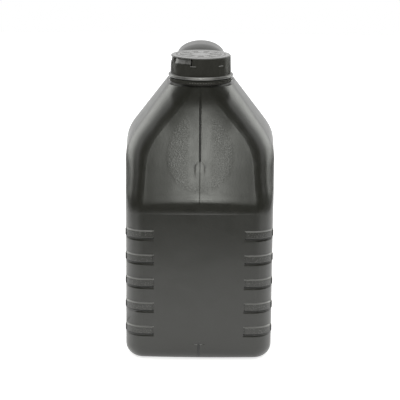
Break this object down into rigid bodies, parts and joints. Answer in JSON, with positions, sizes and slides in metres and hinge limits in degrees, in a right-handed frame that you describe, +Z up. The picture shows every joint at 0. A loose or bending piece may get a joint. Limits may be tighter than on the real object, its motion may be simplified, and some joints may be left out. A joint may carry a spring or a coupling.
{
  "type": "oil jug with screw cap",
  "caption": "Narrow blow-moulded oil jug with a sloping front shoulder, corner grip bars, a hollow rear handle and a black screw cap with a tamper band.",
  "frame": {"origin": "centre of the bounding box at the foot ring, on the plane the jug stands on", "axes": "+Z up along the neck, -Y towards the neck end that the picture shows, +Y towards the handle, X across the thickness with the mould parting plane at X = 0"},
  "size_m": [0.1338, 0.2008, 0.2691],
  "materials": {
    "jug_plastic": "spark-eroded satin, dark grey",
    "cap_plastic": "satin black",
    "liner_foam": "matt, off-white"
  },
  "bodies": {
    "bottle": {"bottle": "jug_plastic", "tamper_band": "cap_plastic"},
    "liner": {"cap_liner": "liner_foam"},
    "cap": {"screw_cap": "cap_plastic"}
  },
  "joints": [
    {"name": "cap_rise", "type": "slide", "parent": "bottle", "child": "liner", "axis": [0, 0, 1], "range_m": [0, 0.01]},
    {"name": "cap_turn", "type": "hinge", "parent": "liner", "child": "cap", "pos_m": [0, -0.042, 0.26], "axis": [0, 0, 1], "range_deg": [0, 720]}
  ],
  "couplings": [
    {"joint": "cap_rise", "follows": "cap_turn", "m_per_rad": 0.00079577}
  ]
}
